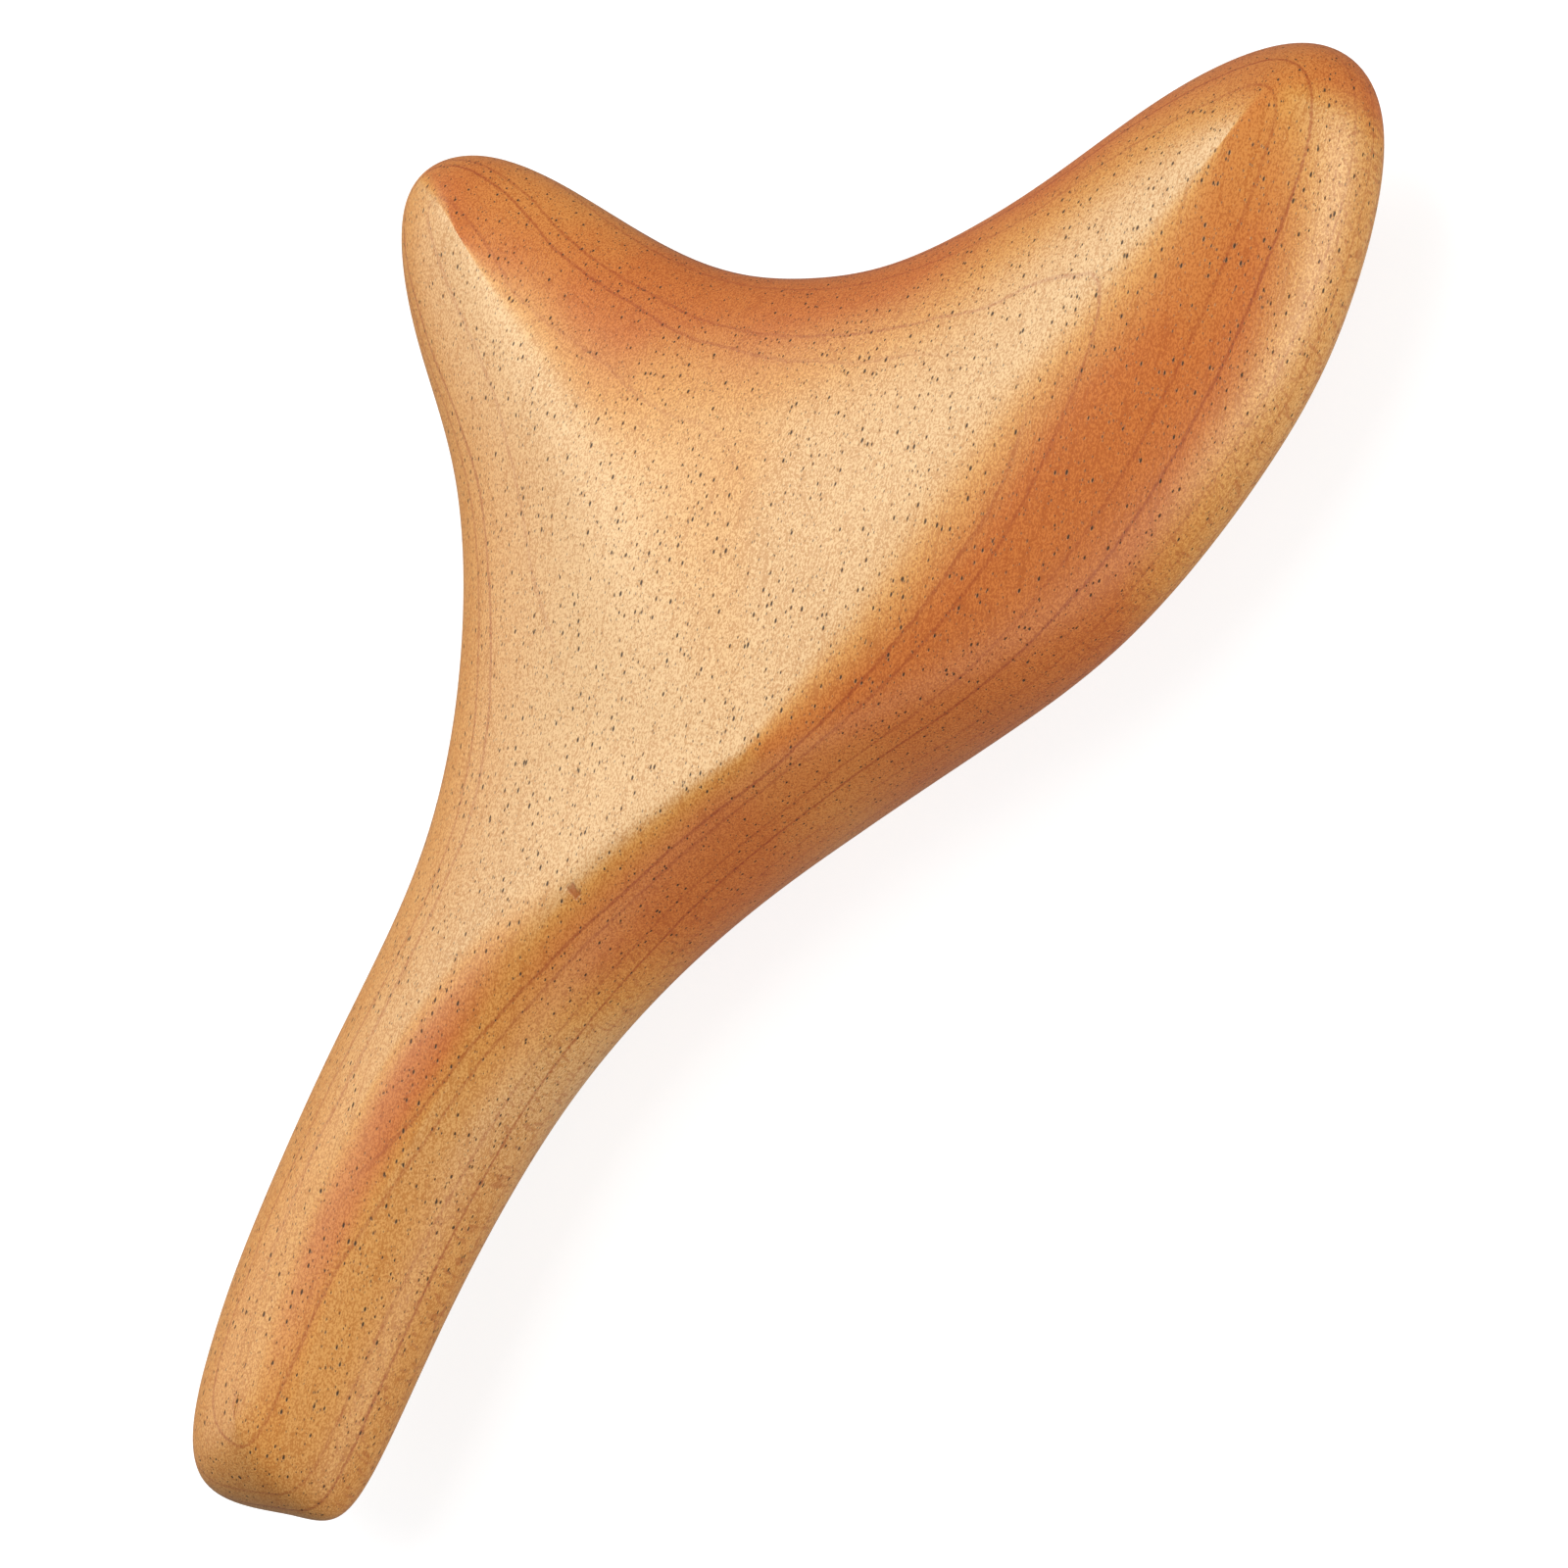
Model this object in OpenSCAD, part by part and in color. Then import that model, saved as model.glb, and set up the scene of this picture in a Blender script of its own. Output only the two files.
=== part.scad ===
// Carved hardwood hand massage tool, one piece.
// It lies on its back: X runs from the butt of the grip to the nose of the
// blade, Y points to the side of the horn, Z is the thickness, z = 0 the table.
// All lengths are in millimetres.

/* [Overall] */
// Length from the butt of the grip to the nose of the blade
tool_l = 207; // [180:1:230]
// Width from the belly of the blade to the tip of the horn
tool_w = 110; // [95:1:125]
// Full thickness in the middle of the body, before the back is sanded
body_t = 33; // [26:1:40]

/* [Limbs] */
// Thickness near the butt of the grip
grip_t = 21; // [16:1:26]
// Thickness near the nose of the blade
blade_t = 26; // [20:1:32]
// Thickness near the tip of the horn
horn_t = 21; // [16:1:26]

/* [Surface] */
// Fullness of the rounded edge, low is blunt and high is lens shaped
edge_round = 0.9; // [0.8:0.1:2.0]
// Softness of the ridge along each crest, low is crisp
ridge_soft = 0.25; // [0.1:0.05:0.5]
// Depth sanded off the back, which leaves the flat the tool rests on
rest_depth = 1.0; // [0.3:0.1:2.0]

/* [Hidden] */

// Outline seen from above, anticlockwise from the middle of the butt. These are
// the poles of one closed smooth curve, in whole millimetres.
butt = [[-99, -7], [-98, -13]];
belly = [[-74, -6], [-44, 0], [-15, -3], [12, -13], [35, -24], [64, -24], [80, -21]];
blade_nose = [[103, -10], [105, 3], [90, 13]];
saddle = [[73, 18], [56, 26], [48, 35], [41, 47]];
horn_nose = [[40, 70], [37, 85], [26, 89], [13, 73]];
back_bay = [[5, 57], [-13, 41], [-32, 30], [-58, 25], [-80, 19]];
butt_corner = [[-93, 14], [-108, 6]];
poles = concat(butt, belly, blade_nose, saddle, horn_nose, back_bay, butt_corner);

// Places along the outline, counted in poles, where the limbs meet or end
at_hub_belly = 4.7;
at_blade = 9.7;
at_hub_saddle = 14;
at_horn = 17.5;
at_hub_back = 21.4;
at_close = len(poles);

// Crest lines, where the surface is highest: three limbs from one hub
hub = [1, -1];
grip_end = [-93, 3];
grip_bend = [-46, 21];
blade_end = [86, -2];
blade_bend = [49, 0];
horn_end = [27, 71];
horn_bend = [12, 30];

// Where each limb starts to get thinner, and where it stops: X, X and Y
grip_thins = [5, -85];
blade_thins = [20, 100];
horn_thins = [20, 75];

// Share of each limb over which a crest point lingers at its end and at the hub
end_hold = 0.3;
hub_hold = 0.2;

// Bow of a rib on a narrow side: 1 is a flat facet and 2 is a round one
roof_bow = 1.3;

// Ribs along one side of each limb, and levels from the rim up to the crest
grip_n = 22;
blade_n = 18;
horn_n = 16;
level_n = 12;

blade_i = grip_n + blade_n;
saddle_i = blade_i + blade_n;
horn_i = saddle_i + horn_n;
back_i = horn_i + horn_n;
rib_n = back_i + grip_n;

wood = [0.91, 0.71, 0.47];

// Uniform cubic curve through the closed list of poles
function pole(i) = poles[(i + at_close) % at_close];
function blend(i, u) =
    (pow(1 - u, 3) * pole(i - 1)
    + (3 * pow(u, 3) - 6 * u * u + 4) * pole(i)
    + (-3 * pow(u, 3) + 3 * u * u + 3 * u + 1) * pole(i + 1)
    + pow(u, 3) * pole(i + 2)) / 6;
function outline(t) = blend(floor(t), t - floor(t));

// Runs from 0 to 1, starting over a share a and stopping over a share b
function glide(u, a, b) =
    let (v = 1 / (1 - (a + b) / 2))
    u < a ? v * u * u / (2 * a)
    : u < 1 - b ? v * (u - a / 2)
    : 1 - v * (1 - u) * (1 - u) / (2 * b);

function arc(p, q, r, u) = (1 - u) * (1 - u) * p + 2 * u * (1 - u) * q + u * u * r;

// Half the thickness that the limbs allow at a place in the plan
function smooth(u) = u < 0 ? 0 : u > 1 ? 1 : u * u * (3 - 2 * u);
function thinned(at, run) = smooth((at - run[0]) / (run[1] - run[0]));
function half_at(p) =
    (body_t
    - (body_t - grip_t) * thinned(p[0], grip_thins)
    - (body_t - blade_t) * thinned(p[0], blade_thins)
    - (body_t - horn_t) * thinned(p[1], horn_thins)) / 2;

// One rib is [rim point, crest point]. Along a limb, k is 0 at its end and 1
// at the hub.
function rib(t, k, end, bend) =
    [outline(t), arc(end, bend, hub, glide(k, end_hold, hub_hold))];
function grip_rib(t, k) = rib(t, k, grip_end, grip_bend);
function blade_rib(t, k) = rib(t, k, blade_end, blade_bend);
function horn_rib(t, k) = rib(t, k, horn_end, horn_bend);
function between(a, b, u) = a + (b - a) * u;

ribs = concat(
    [for (i = [0:grip_n - 1]) let (u = i / grip_n)
        grip_rib(between(0, at_hub_belly, u), u)],
    [for (i = [0:blade_n - 1]) let (u = i / blade_n)
        blade_rib(between(at_hub_belly, at_blade, u), 1 - u)],
    [for (i = [0:blade_n - 1]) let (u = i / blade_n)
        blade_rib(between(at_blade, at_hub_saddle, u), u)],
    [for (i = [0:horn_n - 1]) let (u = i / horn_n)
        horn_rib(between(at_hub_saddle, at_horn, u), 1 - u)],
    [for (i = [0:horn_n - 1]) let (u = i / horn_n)
        horn_rib(between(at_horn, at_hub_back, u), u)],
    [for (i = [0:grip_n - 1]) let (u = i / grip_n)
        grip_rib(between(at_hub_back, at_close, u), 1 - u)]
);

// Frame: middle of the outline on the origin, sanded back on the table
rim_x = [for (r = ribs) r[0][0]];
rim_y = [for (r = ribs) r[0][1]];
mid = [(max(rim_x) + min(rim_x)) / 2, (max(rim_y) + min(rim_y)) / 2];
fit = [tool_l / (max(rim_x) - min(rim_x)), tool_w / (max(rim_y) - min(rim_y))];
lift = body_t / 2 - rest_depth;

// A point on rib i at level j, on the front (side 1) or on the back (side -1)
function bow(r) =
    pow(pow(roof_bow, 4) + pow(edge_round * norm(r[0] - r[1]) / half_at(r[1]), 4), 0.25);
function reach(n, fall) =
    let (soft = ridge_soft * ridge_soft)
    let (low = pow(soft, n / 2))
    sqrt(max(0, pow(fall * (pow(1 + soft, n / 2) - low) + low, 2 / n) - soft));
function surface_point(r, j, side) =
    let (a = 90 * j / level_n)
    let (s = j == level_n ? 0 : reach(bow(r), pow(cos(a), 2)))
    let (p = r[1] + (r[0] - r[1]) * s)
    [(p[0] - mid[0]) * fit[0], (p[1] - mid[1]) * fit[1], side * half_at(p) * sin(a)];

points = concat(
    [for (r = ribs) surface_point(r, 0, 1)],
    [for (j = [1:level_n]) for (r = ribs) surface_point(r, j, 1)],
    [for (j = [1:level_n]) for (r = ribs) surface_point(r, j, -1)]
);

// Both sides of a limb share the points on their crest, and all share the hub
function crest_rib(i) =
    i == saddle_i || i == back_i ? grip_n
    : i > back_i ? rib_n - i
    : i > horn_i ? 2 * horn_i - i
    : i > saddle_i ? i
    : i > blade_i ? 2 * blade_i - i
    : i;

function place(i, j, side) =
    let (c = j == level_n ? crest_rib(i % rib_n) : i % rib_n)
    j == 0 ? c : (j + (side < 0 ? level_n : 0)) * rib_n + c;

function cell(i, j, side) =
    let (a = place(i, j, side))
    let (b = place(i, j + 1, side))
    let (c = place(i + 1, j + 1, side))
    let (d = place(i + 1, j, side))
    side > 0 ? [[a, b, c], [a, c, d]] : [[c, b, a], [d, c, a]];

faces = [for (side = [1, -1]) for (j = [0:level_n - 1]) for (i = [0:rib_n - 1])
    for (f = cell(i, j, side)) f];

module carved_wood_body() {
    color(wood)
    difference() {
        translate([0, 0, lift]) polyhedron(points = points, faces = faces, convexity = 6);
        translate([-tool_l, -tool_w, -body_t]) cube([2 * tool_l, 2 * tool_w, body_t]);
    }
}

carved_wood_body();
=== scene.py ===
"""Carved hardwood massage tool: one block of wood with a grip, a horn and a blade.

The tool lies on its back. X runs from the butt of the grip to the nose of the
blade, Y points to the side of the horn, Z is the thickness and z = 0 is the
table. The body is carved again here from the lengths below, finer than the
frame's own node, and gets its grain, its finish and a small studio.
"""

import math
from collections import namedtuple

import bmesh
import bpy
import numpy as np
from bpy.props import FloatProperty, FloatVectorProperty, IntProperty, PointerProperty
from bpy.types import Operator, Panel, PropertyGroup
from mathutils import Matrix, Vector, noise


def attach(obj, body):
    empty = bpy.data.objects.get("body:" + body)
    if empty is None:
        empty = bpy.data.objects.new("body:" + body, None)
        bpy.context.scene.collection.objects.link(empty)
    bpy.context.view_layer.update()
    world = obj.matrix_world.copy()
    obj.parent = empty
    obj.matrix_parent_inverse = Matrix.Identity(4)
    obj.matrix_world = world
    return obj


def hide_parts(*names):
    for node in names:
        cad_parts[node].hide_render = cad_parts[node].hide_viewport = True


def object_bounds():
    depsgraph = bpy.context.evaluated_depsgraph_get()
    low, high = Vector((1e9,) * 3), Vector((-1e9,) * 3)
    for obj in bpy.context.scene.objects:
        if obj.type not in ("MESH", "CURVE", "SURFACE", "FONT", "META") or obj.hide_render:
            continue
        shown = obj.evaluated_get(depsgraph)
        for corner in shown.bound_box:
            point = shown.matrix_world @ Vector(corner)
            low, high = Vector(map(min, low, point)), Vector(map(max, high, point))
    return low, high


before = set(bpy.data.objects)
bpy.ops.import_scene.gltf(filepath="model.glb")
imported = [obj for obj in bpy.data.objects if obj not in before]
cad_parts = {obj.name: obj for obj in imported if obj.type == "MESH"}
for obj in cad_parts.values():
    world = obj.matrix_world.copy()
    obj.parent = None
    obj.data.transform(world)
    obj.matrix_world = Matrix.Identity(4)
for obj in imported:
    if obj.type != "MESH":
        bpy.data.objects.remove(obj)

bl_info = {
    "name": "Carved Massage Tool",
    "version": (1, 0, 0),
    "blender": (4, 5, 0),
    "location": "3D View > Sidebar > Massage Tool",
    "description": "Carves the wooden body, finishes it and sets up the studio",
    "category": "Add Mesh",
}

MM = 0.001
BODY_NODE = "carved_wood_body"
CAD_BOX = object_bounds()

# A place inside the body, under the hub. The camera and the lights point at it,
# and the heights of the growth lines are counted from it.
HEART = Vector((0.0004, -0.0314, 0.0155))

# ---------------------------------------------------------------- the outline
# Poles of one closed smooth curve seen from above, in whole millimetres and
# anticlockwise from the middle of the butt.

BUTT = [(-99, -7), (-98, -13)]
BELLY = [(-74, -6), (-44, 0), (-15, -3), (12, -13), (35, -24), (64, -24), (80, -21)]
BLADE_NOSE = [(103, -10), (105, 3), (90, 13)]
SADDLE = [(73, 18), (56, 26), (48, 35), (41, 47)]
HORN_NOSE = [(40, 70), (37, 85), (26, 89), (13, 73)]
BACK_BAY = [(5, 57), (-13, 41), (-32, 30), (-58, 25), (-80, 19)]
BUTT_CORNER = [(-93, 14), (-108, 6)]
POLES = np.array(BUTT + BELLY + BLADE_NOSE + SADDLE + HORN_NOSE + BACK_BAY + BUTT_CORNER, float)

# Places along the outline, counted in poles, where the limbs meet or end
AT_HUB_BELLY = 4.7
AT_BLADE = 9.7
AT_HUB_SADDLE = 14
AT_HORN = 17.5
AT_HUB_BACK = 21.4
AT_CLOSE = len(POLES)

# Crest lines are where the surface is highest: three limbs run out from one
# hub. Each limb thins over a run of X or, on the horn, of Y.
HUB = (1, -1)
END_HOLD = 0.3
HUB_HOLD = 0.2

# Bow of a rib on a narrow side: 1 is a flat facet and 2 is a round one
ROOF_BOW = 1.3
Limb = namedtuple("Limb", "end bend thins share")
GRIP = Limb(end=(-93, 3), bend=(-46, 21), thins=(5, -85), share=1.0)
BLADE = Limb(end=(86, -2), bend=(49, 0), thins=(20, 100), share=0.82)
HORN = Limb(end=(27, 71), bend=(12, 30), thins=(20, 75), share=0.73)


# ---------------------------------------------------------------- settings


class BodyShape(PropertyGroup):
    body_thickness: FloatProperty(
        name="Body Thickness", description="Full thickness at the hub before the back is sanded",
        default=33 * MM, unit="LENGTH")
    grip_thickness: FloatProperty(
        name="Grip Thickness", description="Thickness near the butt of the grip",
        default=21 * MM, unit="LENGTH")
    blade_thickness: FloatProperty(
        name="Blade Thickness", description="Thickness near the nose of the blade",
        default=26 * MM, unit="LENGTH")
    horn_thickness: FloatProperty(
        name="Horn Thickness", description="Thickness near the tip of the horn",
        default=21 * MM, unit="LENGTH")
    edge_round: FloatProperty(
        name="Edge Round", description="Low is a blunt edge and high is a lens-shaped one",
        default=0.9, min=0.8, max=2.0)
    ridge_soft: FloatProperty(
        name="Ridge Softness", description="Softness of the ridge along each crest, low is crisp",
        default=0.25, min=0.1, max=0.5)
    ridge_round: FloatProperty(
        name="Ridge Round", description="Sanding round on a ridge, on top of its softness",
        default=3.2 * MM, unit="LENGTH")
    rest_depth: FloatProperty(
        name="Rest Depth", description="Depth sanded off the back to leave a flat",
        default=1.0 * MM, unit="LENGTH")
    hand_wobble: FloatProperty(
        name="Hand Wobble", description="Depth of the shallow hollows that hand sanding leaves",
        default=0.25 * MM, unit="LENGTH")
    ribs: IntProperty(
        name="Ribs", description="Ribs along one side of the grip", default=96, min=12)
    levels: IntProperty(
        name="Levels", description="Rows from the rim up to the crest", default=40, min=6)


class WoodFinish(PropertyGroup):
    pale_wood: FloatVectorProperty(
        name="Pale Wood", description="Early wood between two growth lines",
        subtype="COLOR", default=(0.65, 0.405, 0.195), min=0, max=1)
    warm_wood: FloatVectorProperty(
        name="Warm Wood", description="Late wood, richer and more orange",
        subtype="COLOR", default=(0.47, 0.225, 0.075), min=0, max=1)
    growth_line: FloatVectorProperty(
        name="Growth Line", description="Thin line that closes each year's growth",
        subtype="COLOR", default=(0.30, 0.07, 0.02), min=0, max=1)
    pore: FloatVectorProperty(
        name="Pore", description="Open pores, filled with oil",
        subtype="COLOR", default=(0.035, 0.014, 0.008), min=0, max=1)
    # Painted shade, partly the tint of a little oil: this multiplies the wood where the deeper facets
    # begin, on facets that lean to the back wall and towards the butt of the grip.
    golden_oil_and_shade: FloatVectorProperty(
        name="Golden", description="Tint that the oil gives where a little of it soaked in",
        subtype="COLOR", default=(1.0, 0.82, 0.42), min=0, max=1)
    # Painted shade, partly oil that end grain took in: this deepens the shoulder of the ridge, a band
    # along the grip's crest and facets that face the fibre ends.
    soaked_and_shaded: FloatVectorProperty(
        name="Soaked", description="Tint of the facets that took in more oil",
        subtype="COLOR", default=(0.84, 0.48, 0.37), min=0, max=1)
    fibre_angle: FloatProperty(
        name="Fibre Angle", description="Direction of the fibres, from X towards Y",
        subtype="ANGLE", default=math.radians(26))
    roughness: FloatProperty(
        name="Roughness", description="Mean roughness of the oiled surface",
        subtype="FACTOR", default=0.42, min=0, max=1)


class StudioSetup(PropertyGroup):
    camera_tilt: FloatProperty(
        name="Camera Tilt", description="Angle between the line of sight and the vertical",
        subtype="ANGLE", default=math.radians(26))
    camera_heading: FloatProperty(
        name="Camera Heading", description="Side that the camera leans to, from X towards Y",
        subtype="ANGLE", default=math.radians(-83))
    length_slope: FloatProperty(
        name="Length Slope", description="Slope of the tool's length in the picture",
        subtype="ANGLE", default=math.radians(53))
    camera_distance: FloatProperty(
        name="Camera Distance", description="Distance from the lens to the tool",
        default=0.59, unit="LENGTH")
    focal_length: FloatProperty(
        name="Focal Length", description="Focal length in millimetres", default=120.0)
    light_level: FloatProperty(
        name="Light Level", description="Brightness of all the soft lights together",
        default=1.0, min=0)
    sky: FloatProperty(
        name="Sky", description="Brightness of the white room", default=0.25, min=0)


# ---------------------------------------------------------------- carving


def outline(places):
    """Points of the outline at places counted in poles."""
    index = np.floor(places).astype(int)
    u = (places - index)[:, None]
    before, here, after, beyond = (POLES[(index + step) % AT_CLOSE] for step in (-1, 0, 1, 2))
    return ((1 - u) ** 3 * before
            + (3 * u ** 3 - 6 * u ** 2 + 4) * here
            + (-3 * u ** 3 + 3 * u ** 2 + 3 * u + 1) * after
            + u ** 3 * beyond) / 6


def thinned(at, run):
    """Runs smoothly from 0 to 1 along a limb's run."""
    u = np.clip((at - run[0]) / (run[1] - run[0]), 0, 1)
    return u * u * (3 - 2 * u)


def half_at(plan, shape):
    """Half the thickness, in millimetres, that the limbs allow at places in the plan."""
    x, y = plan[..., 0], plan[..., 1]
    body = shape.body_thickness
    full = (body
            - (body - shape.grip_thickness) * thinned(x, GRIP.thins)
            - (body - shape.blade_thickness) * thinned(x, BLADE.thins)
            - (body - shape.horn_thickness) * thinned(y, HORN.thins))
    return full / MM / 2


def glide(u, start, stop):
    """Runs from 0 to 1, starting over one share of the way and stopping over another."""
    pace = 1 / (1 - (start + stop) / 2)
    return np.where(
        u < start, pace * u * u / (2 * start),
        np.where(u < 1 - stop, pace * (u - start / 2), 1 - pace * (1 - u) ** 2 / (2 * stop)))


def half_limb(limb, first, last, outward, ribs):
    """Rim points and crest points along one side of a limb."""
    count = max(8, round(ribs * limb.share))
    u = np.arange(count) / count
    e = glide(1 - u if outward else u, END_HOLD, HUB_HOLD)[:, None]
    crest = ((1 - e) ** 2 * np.array(limb.end) + 2 * e * (1 - e) * np.array(limb.bend)
             + e ** 2 * np.array(HUB))
    return outline(first + (last - first) * u), crest


def carve_ribs(ribs):
    """Rim and crest points of all the ribs round the outline, in millimetres."""
    runs = [
        half_limb(GRIP, 0, AT_HUB_BELLY, False, ribs),
        half_limb(BLADE, AT_HUB_BELLY, AT_BLADE, True, ribs),
        half_limb(BLADE, AT_BLADE, AT_HUB_SADDLE, False, ribs),
        half_limb(HORN, AT_HUB_SADDLE, AT_HORN, True, ribs),
        half_limb(HORN, AT_HORN, AT_HUB_BACK, False, ribs),
        half_limb(GRIP, AT_HUB_BACK, AT_CLOSE, True, ribs),
    ]
    return [np.concatenate(part) for part in zip(*runs)]


def carve_surface(shape):
    """Rows of points from rim to crest, and the rise of each above the middle plane."""
    rim, crest = carve_ribs(shape.ribs)
    width = np.linalg.norm(rim - crest, axis=1)
    bow = (ROOF_BOW ** 4 + (shape.edge_round * width / half_at(crest, shape)) ** 4) ** 0.25
    turn = np.linspace(0, math.pi / 2, shape.levels + 1)
    soft = shape.ridge_soft ** 2 + (shape.ridge_round / MM / width[:, None]) ** 2
    power = bow[:, None] / 2
    least = soft ** power
    fall = np.cos(turn)[None, :] ** 2 * ((1 + soft) ** power - least) + least
    share = np.sqrt(np.maximum(fall ** (1 / power) - soft, 0))
    share[:, -1] = 0
    plan = crest[:, None, :] + (rim - crest)[:, None, :] * share[:, :, None]
    rise = half_at(plan, shape) * np.sin(turn)[None, :]
    low, high = rim.min(axis=0), rim.max(axis=0)
    box_low, box_high = (np.array(corner[:2]) for corner in CAD_BOX)
    plan = (plan - (low + high) / 2) * (box_high - box_low) / (high - low) + (box_low + box_high) / 2
    return plan, rise * MM


# Width of the soft edge of the flat on the back, and the gap that is welded shut
FLAT_BLEND = 0.5 * MM
WELD = 0.002 * MM

# Hollows from hand sanding: waves per metre along X, Y and Z, and the height over
# the table where they begin and the run over which they get their full depth
HOLLOW_WAVES = (38, 62, 62)
HOLLOW_START = 0.4 * MM
HOLLOW_RUN = 4 * MM


def sanded(rise, limit, blend):
    """Rise held under a limit, with a soft edge where the flat begins."""
    gap = np.maximum(blend - np.abs(rise - limit), 0) / blend
    return np.minimum(rise, limit) - gap * gap * blend / 4


def body_mesh(shape):
    plan, rise = carve_surface(shape)
    lift = shape.body_thickness / 2 - shape.rest_depth
    ribs, rows = rise.shape
    mesh = bmesh.new()

    def layer(heights):
        return [[mesh.verts.new((*plan[i, j], heights[i, j])) for j in range(rows)]
                for i in range(ribs)]

    front = layer(lift + rise)
    back = layer(lift - sanded(rise, lift, FLAT_BLEND))
    for i in range(ribs):
        k = (i + 1) % ribs
        for j in range(rows - 1):
            mesh.faces.new((front[i][j], front[k][j], front[k][j + 1], front[i][j + 1]))
            mesh.faces.new((back[i][j], back[i][j + 1], back[k][j + 1], back[k][j]))
    bmesh.ops.remove_doubles(mesh, verts=mesh.verts, dist=WELD)
    limb_ends = [vert for vert in mesh.verts if len(vert.link_edges) == 2]
    bmesh.ops.dissolve_verts(mesh, verts=limb_ends)
    bmesh.ops.recalc_face_normals(mesh, faces=mesh.faces)
    sand_by_hand(mesh, shape.hand_wobble)
    return mesh


def sand_by_hand(mesh, depth):
    """Presses shallow, long hollows into the surface, and leaves the resting flat alone."""
    mesh.normal_update()
    for vert in mesh.verts:
        spot = vert.co
        wave = Vector(part * count for part, count in zip(spot, HOLLOW_WAVES))
        press = depth * (0.5 + 0.5 * noise.noise(wave))
        if spot.z > HOLLOW_START:
            share = min(1, (spot.z - HOLLOW_START) / HOLLOW_RUN)
            vert.co = spot - vert.normal * press * share


# ---------------------------------------------------------------- shader sheet


class Wire:
    """A number that changes over the surface. Sums and products add Math nodes."""

    def __init__(self, sheet, socket):
        self.sheet = sheet
        self.socket = socket

    def reckon(self, operation, *terms):
        sockets = dict(enumerate(terms))
        return self.sheet.wire("ShaderNodeMath", {"operation": operation}, sockets)

    def __add__(self, other):
        return self.reckon("ADD", self, other)

    def __radd__(self, other):
        return self.reckon("ADD", other, self)

    def __sub__(self, other):
        return self.reckon("SUBTRACT", self, other)

    def __rsub__(self, other):
        return self.reckon("SUBTRACT", other, self)

    def __mul__(self, other):
        return self.reckon("MULTIPLY", self, other)

    def __rmul__(self, other):
        return self.reckon("MULTIPLY", other, self)

    def __truediv__(self, other):
        return self.reckon("DIVIDE", self, other)

    def __rtruediv__(self, other):
        return self.reckon("DIVIDE", other, self)

    def __abs__(self):
        return self.reckon("ABSOLUTE", self)

    def root(self):
        return self.reckon("SQRT", self)

    def most(self, other):
        return self.reckon("MAXIMUM", self, other)

    def ease(self, low, high, start=0.0, stop=1.0):
        """Smooth step from one value at low to another at high."""
        return self.sheet.wire(
            "ShaderNodeMapRange", {"interpolation_type": "SMOOTHSTEP"},
            {"Value": self, "From Min": low, "From Max": high, "To Min": start, "To Max": stop})


class Sheet:
    """The node sheet of one material."""

    def __init__(self, name):
        self.material = bpy.data.materials.new(name)
        self.material.use_nodes = True
        self.tree = self.material.node_tree
        self.tree.nodes.clear()

    def add(self, kind, settings, sockets):
        node = self.tree.nodes.new(kind)
        for key, value in settings.items():
            if key == "stops":
                self.set_stops(node.color_ramp, value)
            elif key == "interpolation":
                node.color_ramp.interpolation = value
            else:
                setattr(node, key, value)
        for key, value in sockets.items():
            if isinstance(value, Wire):
                self.tree.links.new(value.socket, node.inputs[key])
            else:
                node.inputs[key].default_value = value
        return node

    @staticmethod
    def set_stops(ramp, stops):
        while len(ramp.elements) < len(stops):
            ramp.elements.new(0.5)
        for element, (position, colour) in zip(ramp.elements, stops):
            element.position = position
            element.color = colour

    def wire(self, kind, settings, sockets, output=0):
        return Wire(self, self.add(kind, settings, sockets).outputs[output])

    def dot(self, vector, direction):
        return self.wire(
            "ShaderNodeVectorMath", {"operation": "DOT_PRODUCT"},
            {0: vector, 1: tuple(direction)}, "Value")

    def red(self, colour):
        return self.wire("ShaderNodeSeparateColor", {}, {0: colour}, 0)

    def combine(self, x, y, z):
        return self.wire("ShaderNodeCombineXYZ", {}, {"X": x, "Y": y, "Z": z})

    def cloud(self, vector, scale, detail=2.0, rough=0.5):
        return self.wire(
            "ShaderNodeTexNoise", {"noise_dimensions": "3D"},
            {"Vector": vector, "Scale": scale, "Detail": detail, "Roughness": rough}, 0)

    def mix(self, share, low, high, blend="MIX"):
        """Colour mix; low and high are colours or colour wires."""
        return self.wire(
            "ShaderNodeMix", {"data_type": "RGBA", "blend_type": blend},
            {0: share, 6: low, 7: high}, 2)


def solid(colour):
    return (*colour, 1.0)


def grey(value):
    return (value, value, value, 1)


# ---------------------------------------------------------------- the wood

# Height of each growth line, in millimetres from the heart of the body, and how
# dark it is. The lines lean with the board that the body was cut from.
GROWTH_LINES = [
    (-12.5, 0.7), (-9.0, 0.5), (-5.5, 0.8), (-2.0, 0.5), (1.0, 0.5),
    (5.5, 1.0), (8.0, 0.6), (12.1, 0.7), (13.3, 1.0), (16.4, 0.7)]
GROWTH_SPAN = 36.0
GAP_SPAN = 4.0
LINE_WIDTH = 0.26
LEAST_WIDTH = 0.03
BOARD_LEAN = Vector((-0.033, 0.108, 1.0)).normalized()

# How growth lines, fibre streaks and ray flecks run: waves per metre along the
# fibres, across them and outwards. The lines stray by a depth in millimetres.
SLOW_WAVES = (12, 34, 20)
SLOW_DEPTH = 2.6
QUICK_WAVES = (150, 400, 300)
QUICK_DEPTH = 0.2
FIBRE_WAVES = (110, 1700, 900)
RAY_WAVES = (1500, 3800, 420)

# Clouds of tone: clouds per metre across the fibres, detail and roughness. They
# are all stretched along the fibres.
CLOUD_STRETCH = 0.55
Cloud = namedtuple("Cloud", "scale detail rough")
SPECKLE = Cloud(scale=5200, detail=1.0, rough=0.7)
MOTTLE = Cloud(scale=1300, detail=2.0, rough=0.6)
DRIFT = Cloud(scale=45, detail=2.0, rough=0.5)

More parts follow.
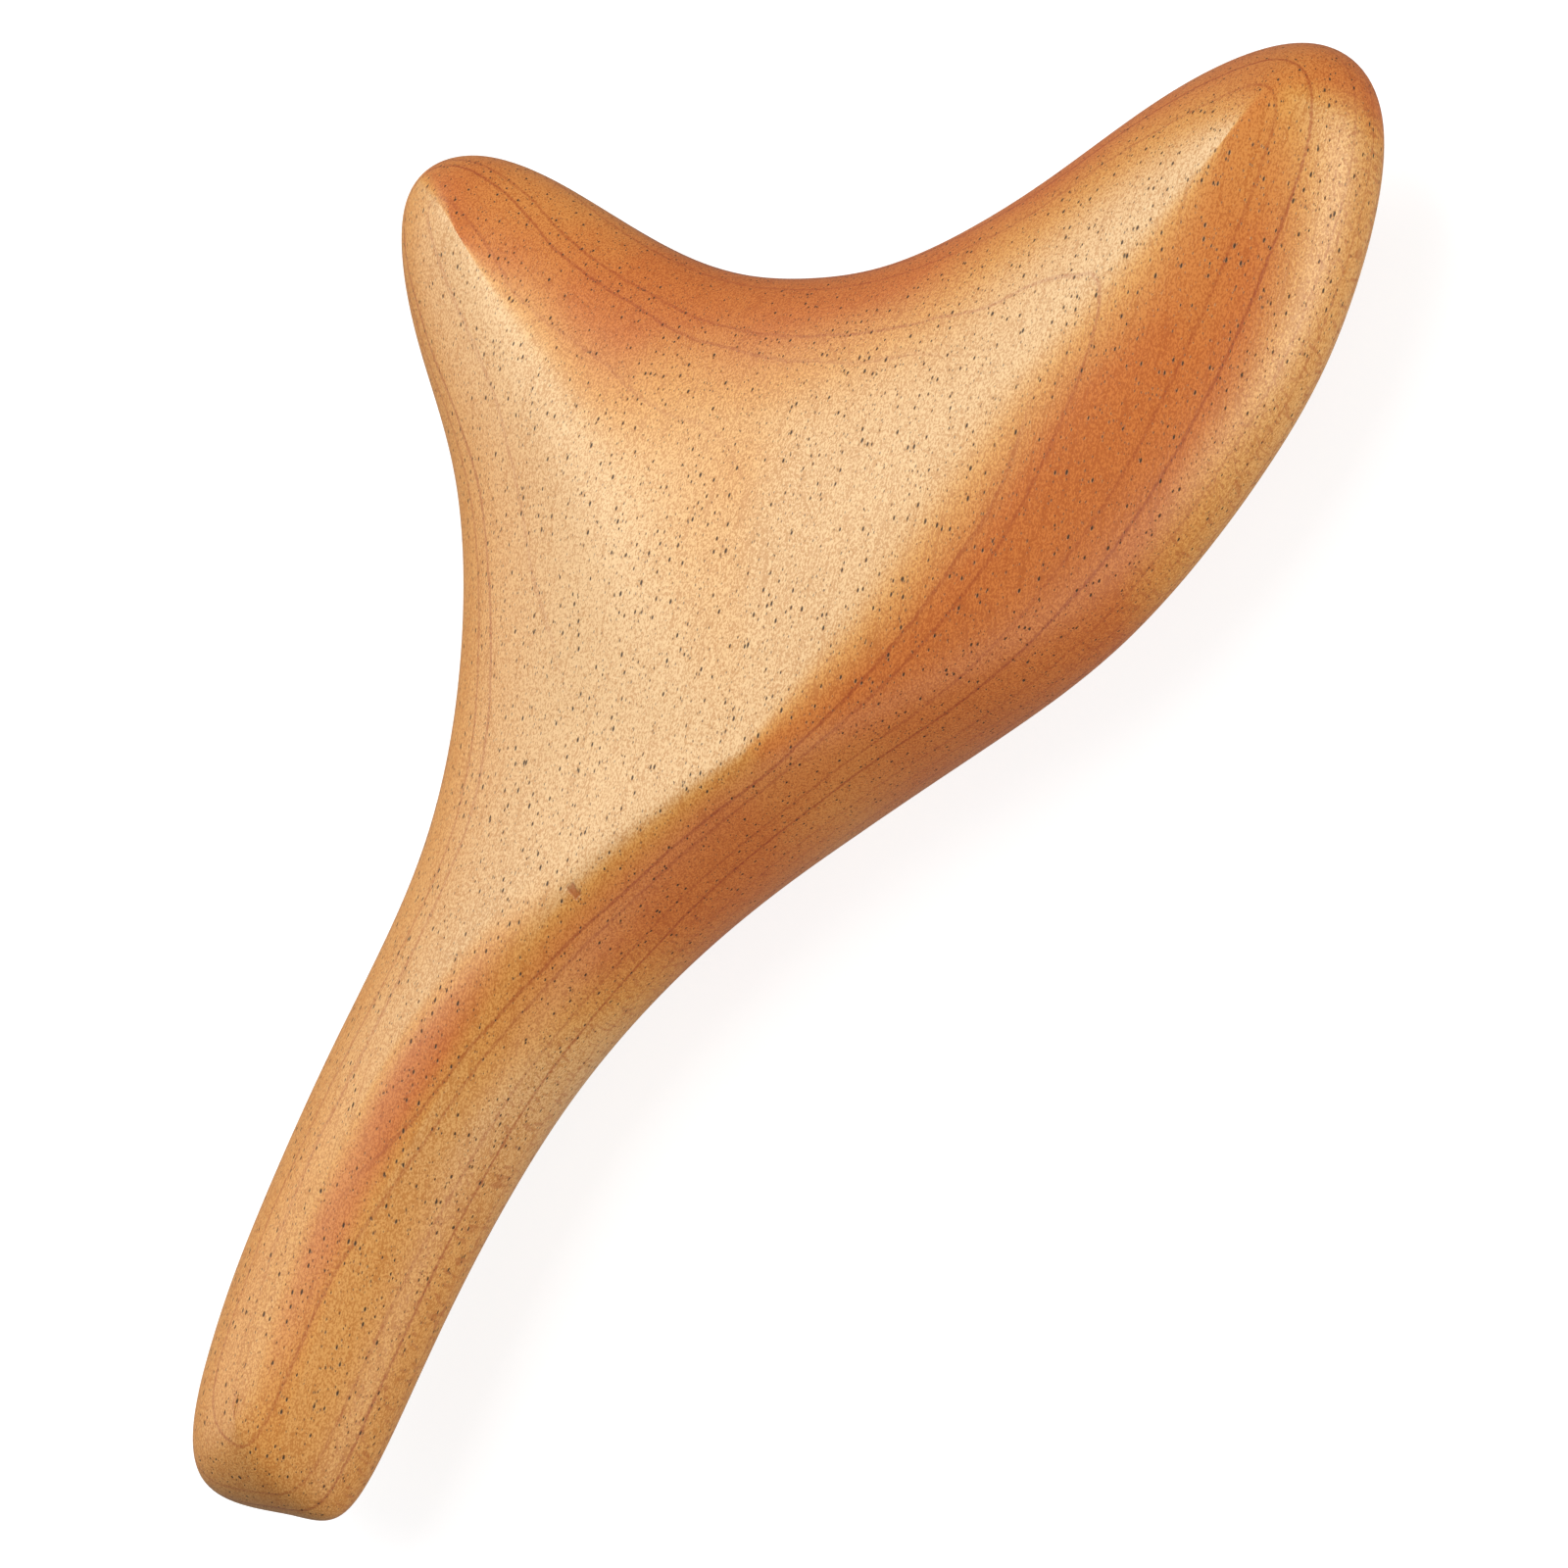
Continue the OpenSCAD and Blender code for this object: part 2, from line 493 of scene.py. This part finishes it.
# Open vessels of two sizes: the size of the cell that holds one, its radius,
# its length along the fibres, how much the radii differ and how dark it is
Pore = namedtuple("Pore", "cell radius stretch spread depth")
BIG_PORE = Pore(cell=0.70 * MM, radius=0.19 * MM, stretch=0.42, spread=0.7, depth=1.0)
SMALL_PORE = Pore(cell=0.40 * MM, radius=0.11 * MM, stretch=0.4, spread=0.55, depth=0.8)

# Headings, in degrees from X towards Y, of the facets that get painted shade, a deeper orange by the
# way
# they lean: the shoulder of the ridge, the ends of the fibres (there partly oil that the end grain
# took in) and the back wall
RIDGE_WAY = -38
END_GRAIN_WAY = 20
BACK_WALL_WAY = 118

# X where each colour begins and X where it is full: the painted shade on the shoulder of the ridge,
# the warmer tint towards the butt of the grip, and the painted shade along the grip's crest
SHOULDER_RUN = (-0.055, -0.020)
GRIP_END_RUN = (-0.030, -0.070)
CREST_SHADE_RUN = (-0.098, -0.066)

# A band of painted shade, deeper orange where the crest of the grip catches no sheen, follows that
# crest: the X and Y of its bend, how fast it curves away on both sides, where it fades out towards the
# body, and the distances from its middle that it is full and gone at
CREST_SHADE_BEND = (-0.0472, -0.0220)
CREST_SHADE_CURVE = 5.4
CREST_SHADE_END = (-0.052, -0.012)
CREST_SHADE_EDGE = (0.0008, 0.0062)

# Colour of the light that the oiled surface gives back
OIL_SHEEN = (1.0, 0.90, 0.62, 1.0)

# A small nick in the ridge, and its radius
NICK = (-0.0226, -0.0256, 0.0301)
NICK_RADIUS = 1.0 * MM


def plan_way(heading):
    turn = math.radians(heading)
    return Vector((math.cos(turn), math.sin(turn), 0))


def grain_axes(fibre_angle):
    """Unit vectors along the fibres, across them, and out through the growth lines."""
    radial = BOARD_LEAN
    along = Vector((math.cos(fibre_angle), math.sin(fibre_angle), 0))
    across = radial.cross(along).normalized()
    return across.cross(radial), across, radial


def waves(sheet, grain, counts):
    """A place in the grain, squeezed so that a cloud there has so many waves per metre."""
    return sheet.combine(*(part * count for part, count in zip(grain, counts)))


def pores(sheet, grain, pore):
    """Dark dots and short dashes where the surface cuts the wood's open vessels."""
    along, across, radial = grain
    cell = pore.cell
    place = sheet.combine(along * (pore.stretch / cell), across / cell, radial / cell)
    manner = {"feature": "F1", "voronoi_dimensions": "3D"}
    node = sheet.add("ShaderNodeTexVoronoi", manner, {"Vector": place, "Scale": 1.0})
    away = Wire(sheet, node.outputs["Distance"])
    dice = sheet.red(Wire(sheet, node.outputs["Color"]))
    reach = pore.radius / cell * (dice * pore.spread + (1 - pore.spread))
    return (away / reach).ease(1.0, 0.45)


def gap_stops():
    """Ramp stops that give the distance to the nearest growth line."""
    levels = [level for level, depth in GROWTH_LINES]
    stops = [(0, grey(1))]
    for level, following in zip(levels, levels[1:] + [None]):
        stops.append((level / GROWTH_SPAN + 0.5, grey(0)))
        if following is not None:
            middle = (level + following) / 2
            stops.append((middle / GROWTH_SPAN + 0.5, grey((following - level) / 2 / GAP_SPAN)))
    stops.append((1, grey((GROWTH_SPAN / 2 - levels[-1]) / GAP_SPAN)))
    return stops


def depth_stops():
    """Ramp stops that give how dark the nearest growth line is."""
    stops = [(0, grey(GROWTH_LINES[0][1]))]
    for (level, _), (following, depth) in zip(GROWTH_LINES, GROWTH_LINES[1:]):
        stops.append(((level + following) / 2 / GROWTH_SPAN + 0.5, grey(depth)))
    return stops


def growth(sheet, grain, middle, slope):
    """Thin dark lines that close each year's growth, as wide on a slope as on a crest."""
    slow = sheet.cloud(waves(sheet, grain, SLOW_WAVES), 1.0, 2.0)
    quick = sheet.cloud(waves(sheet, grain, QUICK_WAVES), 1.0, 1.0)
    wander = (slow - 0.5) * SLOW_DEPTH + (quick - 0.5) * QUICK_DEPTH
    level = ((grain[2] - middle) / MM + wander) / GROWTH_SPAN + 0.5

    def ramp(stops, manner):
        settings = {"stops": stops, "interpolation": manner}
        node = sheet.add("ShaderNodeValToRGB", settings, {"Fac": level})
        return sheet.red(Wire(sheet, node.outputs[0]))

    gap = ramp(gap_stops(), "LINEAR") * GAP_SPAN
    line = (gap / (slope * LINE_WIDTH + LEAST_WIDTH)).ease(1.0, 0.2)
    return line * ramp(depth_stops(), "CONSTANT")


def crest_shade_band(sheet, position):
    """Share of the band of painted shade along the crest of the grip."""
    x = sheet.dot(position, (1, 0, 0))
    bend = x - CREST_SHADE_BEND[0]
    gap = abs(sheet.dot(position, (0, 1, 0)) - CREST_SHADE_BEND[1] + bend * bend * CREST_SHADE_CURVE)
    return gap.ease(*CREST_SHADE_EDGE, 1.0, 0.0) * x.ease(*CREST_SHADE_END, 1.0, 0.0)


Marks = namedtuple("Marks", "speckle mottle drift fibres line rays big_pores small_pores nick")


def wood_marks(sheet, finish, position, facing):
    """Clouds and masks over the surface, which colour, roughness and bump share."""
    axes = grain_axes(finish.fibre_angle)
    grain = [sheet.dot(position, axis) for axis in axes]
    along, across, radial = grain
    stretched = sheet.combine(along * CLOUD_STRETCH, across, radial)
    speckle, mottle, drift = (sheet.cloud(stretched, *cloud) for cloud in (SPECKLE, MOTTLE, DRIFT))
    fibres = sheet.cloud(waves(sheet, grain, FIBRE_WAVES), 1.0, 1.0).ease(0.56, 0.74)

    level_face = sheet.dot(facing, axes[2])
    slope = (1.0001 - level_face * level_face).root()
    line = growth(sheet, grain, axes[2].dot(HEART), slope) * (speckle + 0.2)

    quarter = abs(sheet.dot(facing, axes[1])).ease(0.55, 0.95)
    rays = sheet.cloud(waves(sheet, grain, RAY_WAVES), 1.0, 0.0).ease(0.60, 0.70) * quarter

    from_nick = {0: position, 1: NICK}
    away = sheet.wire("ShaderNodeVectorMath", {"operation": "DISTANCE"}, from_nick, "Value")
    nick = (away + (mottle - 0.5) * (NICK_RADIUS * 2)).ease(NICK_RADIUS, NICK_RADIUS / 2)
    big_pores, small_pores = (pores(sheet, grain, pore) for pore in (BIG_PORE, SMALL_PORE))
    return Marks(speckle, mottle, drift, fibres, line, rays, big_pores, small_pores, nick)


def bare_colour(sheet, finish, marks):
    """Wood between pale and warm, with its growth lines, ray flecks, pores and nick."""
    tone = ((marks.drift - 0.5) * 0.7 + (marks.mottle - 0.5) * 0.4 + (marks.speckle - 0.5) * 4.0
            + marks.fibres * 0.4 + 0.45)
    colour = sheet.mix(tone.ease(0.0, 1.0), solid(finish.pale_wood), solid(finish.warm_wood))
    colour = sheet.mix(marks.line * 0.9, colour, solid(finish.growth_line))
    colour = sheet.mix(marks.rays * 0.4, colour, solid(finish.growth_line))
    colour = sheet.mix(marks.small_pores * SMALL_PORE.depth, colour, solid(finish.pore))
    colour = sheet.mix(marks.big_pores * BIG_PORE.depth, colour, solid(finish.pore))
    return sheet.mix(marks.nick * 0.7, colour, solid(finish.growth_line))


def oiled_and_shaded_colour(sheet, finish, position, facing, marks):
    """The bare colour, with a yellower and then a redder tint: painted shade on the shoulder of the
    ridge, along the grip's crest and on the back wall; partly end grain that took in oil and partly
    painted shade on facets that face the fibre ends; and a warmer tint towards the butt of the grip.
    """
    x = sheet.dot(position, (1, 0, 0))
    # Painted shade: facets on the belly side of the ridge's shoulder get a deeper orange by the way
    # they lean.
    ridge = sheet.dot(facing, plan_way(RIDGE_WAY))
    shoulder = ridge.ease(-0.06, 0.28) * ridge.ease(0.38, 0.62, 1.0, 0.4)
    shoulder = shoulder * x.ease(*SHOULDER_RUN, 0.35, 1.0)
    # Facets that face the fibre ends: partly end grain that took in oil, partly painted shade by the
    # way they lean.
    end_grain_and_shade = sheet.dot(facing, plan_way(END_GRAIN_WAY)).ease(0.06, 0.50)
    # Painted shade: a band of deeper orange along the crest of the grip.
    grip_crest_shade = crest_shade_band(sheet, position) * x.ease(*CREST_SHADE_RUN, 0.5, 1.0)
    soaked_and_shaded = shoulder.most(end_grain_and_shade).most(grip_crest_shade) * ((marks.drift - 0.5) * 0.9 + 1.0)

    # Painted shade on facets that lean to the back wall, and a warmer tint towards the butt of the
    # grip.
    wall = sheet.dot(facing, plan_way(BACK_WALL_WAY)).ease(0.22, 0.75)
    grip_end_and_wall_shade = x.ease(*GRIP_END_RUN).most(wall) * 0.85
    golden_oil_and_shade = soaked_and_shaded.ease(0.0, 0.6).most(grip_end_and_wall_shade)
    red = (soaked_and_shaded * soaked_and_shaded).most(grip_end_and_wall_shade * 0.28)
    colour = bare_colour(sheet, finish, marks)
    colour = sheet.mix(golden_oil_and_shade, colour, solid(finish.golden_oil_and_shade), "MULTIPLY")
    return sheet.mix(red, colour, solid(finish.soaked_and_shaded), "MULTIPLY")


def wood_material(finish):
    """Satin hardwood: the oiled wood with its painted shade, with a surface that pores and fibres
    roughen.
    """
    sheet = Sheet("satin_hardwood")
    position = sheet.wire("ShaderNodeTexCoord", {}, {}, "Object")
    facing = sheet.wire("ShaderNodeNewGeometry", {}, {}, "Normal")
    marks = wood_marks(sheet, finish, position, facing)
    colour = oiled_and_shaded_colour(sheet, finish, position, facing, marks)
    height = ((marks.speckle - 0.5) * 0.05 + (marks.mottle - 0.5) * 0.02 - marks.fibres * 0.01
              - marks.big_pores * 0.12 - marks.small_pores * 0.04 - marks.nick * 0.3)
    bump = sheet.wire("ShaderNodeBump", {}, {"Height": height, "Distance": MM, "Strength": 0.6})
    rough = ((marks.speckle - 0.5) * 0.25 + (marks.drift - 0.5) * 0.15 + marks.big_pores * 0.3
             + finish.roughness)
    shader = sheet.add("ShaderNodeBsdfPrincipled", {}, {
        "Base Color": colour, "Roughness": rough, "Normal": bump, "IOR": 1.5,
        "Specular IOR Level": 0.7, "Specular Tint": OIL_SHEEN,
        "Coat Weight": 0.1, "Coat Roughness": 0.3})
    sheet.add("ShaderNodeOutputMaterial", {}, {"Surface": Wire(sheet, shader.outputs[0])})
    return sheet.material


# ---------------------------------------------------------------- operators


def link_mesh(name, mesh):
    data = bpy.data.meshes.new(name)
    mesh.to_mesh(data)
    mesh.free()
    piece = bpy.data.objects.new(name, data)
    bpy.context.scene.collection.objects.link(piece)
    return piece


class TOOL_OT_carve_body(Operator):
    """Carves the grip, horn and blade from one block and oils the wood"""

    bl_idname = "massage_tool.carve_body"
    bl_label = "Carve Body"

    def execute(self, context):
        piece = link_mesh("polished_wood_body", body_mesh(context.scene.body_shape))
        for face in piece.data.polygons:
            face.use_smooth = True
        piece.data.materials.append(wood_material(context.scene.wood_finish))
        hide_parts(BODY_NODE)
        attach(piece, "root")
        return {"FINISHED"}


FLOOR_SIZE = 6.0
FLOOR_GREY = (0.4, 0.4, 0.4, 1)
FLOOR_GLOW = 0.76
WHITE = (1, 1, 1, 1)
SENSOR_WIDTH = 36

# Soft lights round the tool. Heading and height are the angles, in degrees, that
# a light is seen at from the tool, and size and power are in metres and watts.
LIGHT_DISTANCE = 1.0
Softbox = namedtuple("Softbox", "name heading height size power")
SOFTBOXES = [
    Softbox("sheen_softbox", 97, 64, (0.75, 0.75), 5.2),
    Softbox("key_softbox", 82, 40, (0.8, 0.8), 7.0),
    Softbox("low_left_strip", 127, 15, (0.8, 0.5), 2.1),
    Softbox("low_right_strip", -53, 12, (0.8, 0.35), 8.5),
    Softbox("front_strip", -98, 15, (0.8, 0.4), 2.0),
]


def sight_axes(tilt, heading, slope):
    """Right, up and back axes of a camera that shows the tool's length at a slope."""
    back = Vector((
        math.sin(tilt) * math.cos(heading), math.sin(tilt) * math.sin(heading), math.cos(tilt)))
    length = Vector((1, 0, 0))
    level = (length - back * length.dot(back)).normalized()
    side = back.cross(level)
    right = level * math.cos(slope) - side * math.sin(slope)
    up = level * math.sin(slope) + side * math.cos(slope)
    return right, up, back


def aim_matrix(place, target):
    """A matrix at a place whose -Z axis points at the target."""
    turn = (target - place).to_track_quat("-Z", "Y")
    return Matrix.Translation(place) @ turn.to_matrix().to_4x4()


def add_camera(studio):
    right, up, back = sight_axes(studio.camera_tilt, studio.camera_heading, studio.length_slope)
    data = bpy.data.cameras.new("studio_camera")
    data.lens = studio.focal_length
    data.sensor_width = SENSOR_WIDTH
    camera = bpy.data.objects.new("studio_camera", data)
    turn = Matrix((right, up, back)).transposed().to_4x4()
    camera.matrix_world = Matrix.Translation(HEART + back * studio.camera_distance) @ turn
    bpy.context.scene.collection.objects.link(camera)
    bpy.context.scene.camera = camera


def add_softbox(softbox, light_level):
    """A rectangular light that points at the tool."""
    data = bpy.data.lights.new(softbox.name, "AREA")
    data.shape = "RECTANGLE"
    data.size, data.size_y = softbox.size
    data.energy = softbox.power * light_level
    lamp = bpy.data.objects.new(softbox.name, data)
    rise = math.radians(softbox.height)
    way = plan_way(softbox.heading) * math.cos(rise) + Vector((0, 0, math.sin(rise)))
    lamp.matrix_world = aim_matrix(HEART + way * LIGHT_DISTANCE, HEART)
    bpy.context.scene.collection.objects.link(lamp)


def add_white_room(brightness):
    world = bpy.data.worlds.new("white_room")
    world.use_nodes = True
    background = world.node_tree.nodes["Background"].inputs
    background["Strength"].default_value = brightness
    background["Color"].default_value = WHITE
    bpy.context.scene.world = world


def floor_material():
    sheet = Sheet("pale_floor")
    shader = sheet.add("ShaderNodeBsdfPrincipled", {}, {
        "Base Color": FLOOR_GREY, "Roughness": 0.9, "Specular IOR Level": 0.0,
        "Emission Color": WHITE, "Emission Strength": FLOOR_GLOW})
    sheet.add("ShaderNodeOutputMaterial", {}, {"Surface": Wire(sheet, shader.outputs[0])})
    return sheet.material


def add_floor():
    mesh = bmesh.new()
    bmesh.ops.create_grid(mesh, x_segments=2, y_segments=2, size=FLOOR_SIZE / 2)
    floor = link_mesh("pale_floor", mesh)
    floor.data.materials.append(floor_material())
    floor.visible_diffuse = False
    floor.visible_glossy = False


class TOOL_OT_set_studio(Operator):
    """Lays a pale floor and sets up the white room, the soft lights and the camera"""

    bl_idname = "massage_tool.set_studio"
    bl_label = "Set Studio"

    def execute(self, context):
        studio = context.scene.studio_setup
        add_floor()
        add_camera(studio)
        for softbox in SOFTBOXES:
            add_softbox(softbox, studio.light_level)
        add_white_room(studio.sky)
        context.scene.view_settings.view_transform = "Standard"
        return {"FINISHED"}


class TOOL_PT_sidebar(Panel):
    """Lists the tool's settings and its two operators"""

    bl_idname = "TOOL_PT_sidebar"
    bl_label = "Massage Tool"
    bl_space_type = "VIEW_3D"
    bl_region_type = "UI"
    bl_category = "Massage Tool"

    def draw(self, context):
        for group in (context.scene.body_shape, context.scene.wood_finish, context.scene.studio_setup):
            box = self.layout.box()
            for key in group.bl_rna.properties.keys():
                if key not in {"rna_type", "name"}:
                    box.prop(group, key)
        self.layout.operator(TOOL_OT_carve_body.bl_idname)
        self.layout.operator(TOOL_OT_set_studio.bl_idname)


CLASSES = (BodyShape, WoodFinish, StudioSetup, TOOL_OT_carve_body, TOOL_OT_set_studio, TOOL_PT_sidebar)


def register():
    for each in CLASSES:
        bpy.utils.register_class(each)
    bpy.types.Scene.body_shape = PointerProperty(type=BodyShape)
    bpy.types.Scene.wood_finish = PointerProperty(type=WoodFinish)
    bpy.types.Scene.studio_setup = PointerProperty(type=StudioSetup)


def unregister():
    del bpy.types.Scene.studio_setup
    del bpy.types.Scene.wood_finish
    del bpy.types.Scene.body_shape
    for each in reversed(CLASSES):
        bpy.utils.unregister_class(each)


def main():
    register()
    bpy.ops.massage_tool.set_studio()
    bpy.ops.massage_tool.carve_body()


if __name__ == "__main__":
    main()
